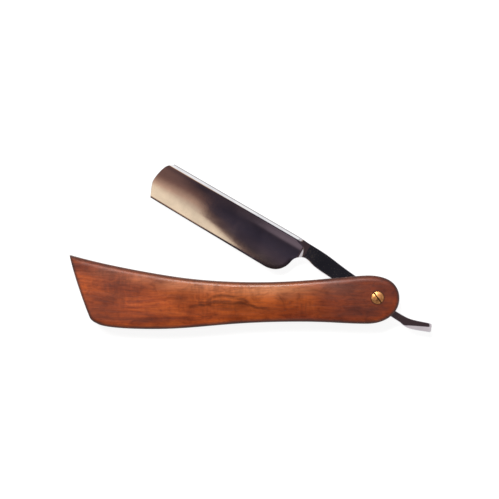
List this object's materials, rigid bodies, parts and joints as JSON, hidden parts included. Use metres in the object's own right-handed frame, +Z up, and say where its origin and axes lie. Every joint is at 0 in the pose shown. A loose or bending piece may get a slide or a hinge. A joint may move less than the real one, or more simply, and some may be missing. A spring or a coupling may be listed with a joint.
{
  "type": "straight razor",
  "caption": "Folding straight razor: a hollow-ground steel blade with a curved tail turns on a brass screw between two curved wooden scales with a slanted butt.",
  "frame": {"origin": "where the pivot axis meets the flat outer face of the back scale, which the razor lies on", "axes": "+X along the scales from the slanted butt to the pivot, +Y towards the side the blade opens to, +Z up along the pivot axis from the back scale to the front scale"},
  "size_m": [0.1774, 0.0823, 0.012],
  "materials": {
    "blade_steel": "polished",
    "scale_wood": "satin",
    "wedge_wood": "satin",
    "dowel_wood": "matte",
    "pivot_brass": "satin",
    "washer_brass": "satin"
  },
  "bodies": {
    "handle": {"front_scale": "scale_wood", "back_scale": "scale_wood", "wedge": "wedge_wood", "wedge_dowels": "dowel_wood", "pivot_screw": "pivot_brass", "pivot_barrel": "pivot_brass", "front_washer": "washer_brass", "back_washer": "washer_brass"},
    "blade": {"blade": "blade_steel"}
  },
  "joints": [
    {"name": "blade_pivot", "type": "hinge", "parent": "handle", "child": "blade", "pos_m": [0, 0, 0.0057], "axis": [0, 0, -1], "range_deg": [-24.5, 306]}
  ]
}
